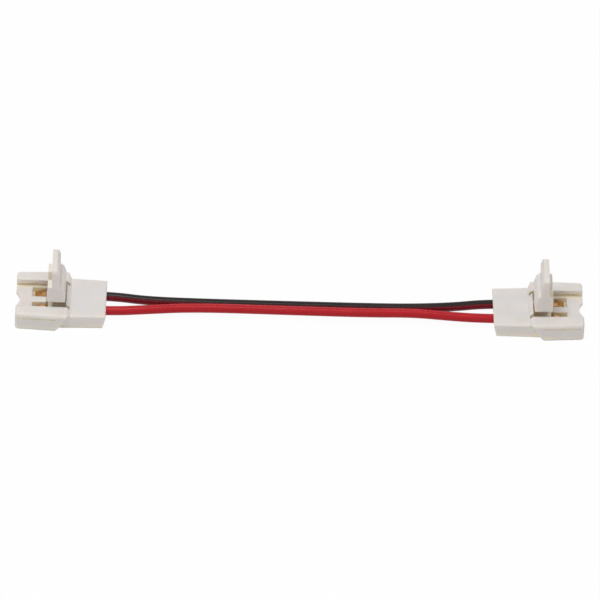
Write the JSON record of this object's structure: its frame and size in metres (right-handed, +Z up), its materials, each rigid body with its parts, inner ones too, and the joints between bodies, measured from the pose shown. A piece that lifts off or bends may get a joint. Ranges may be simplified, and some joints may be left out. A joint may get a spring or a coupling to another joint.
{
  "type": "led strip connector",
  "caption": "Flip-lid strip sockets joined by a short bonded red and black wire, for linking lengths of light strip without solder.",
  "frame": {"origin": "middle of the object's base, between the two sockets, on the plane that it rests on", "axes": "+Z up, the way the open lids point; X along the wire from the left socket to the right one; +Y towards the black wire"},
  "size_m": [0.1002, 0.0118, 0.0117],
  "materials": {
    "nylon": "satin moulded",
    "contact_metal": "stamped",
    "red_pvc": "glossy",
    "black_pvc": "glossy",
    "copper": "drawn"
  },
  "bodies": {
    "connector_body": {"left_housing": "nylon", "left_contact_red": "contact_metal", "left_core_red": "copper", "left_contact_black": "contact_metal", "left_core_black": "copper", "right_housing": "nylon", "right_contact_red": "contact_metal", "right_core_red": "copper", "right_contact_black": "contact_metal", "right_core_black": "copper", "red_wire": "red_pvc", "black_wire": "black_pvc"},
    "left_lid": {"left_lid": "nylon"},
    "right_lid": {"right_lid": "nylon"}
  },
  "joints": [
    {"name": "left_lid_hinge", "type": "hinge", "parent": "connector_body", "child": "left_lid", "pos_m": [-0.04385, 0.00005, 0.00275], "axis": [-0.0244, -0.9997, 0], "range_deg": [0, 90]},
    {"name": "right_lid_hinge", "type": "hinge", "parent": "connector_body", "child": "right_lid", "pos_m": [0.04385, 0.00005, 0.00275], "axis": [-0.0244, 0.9997, 0], "range_deg": [0, 90]}
  ]
}
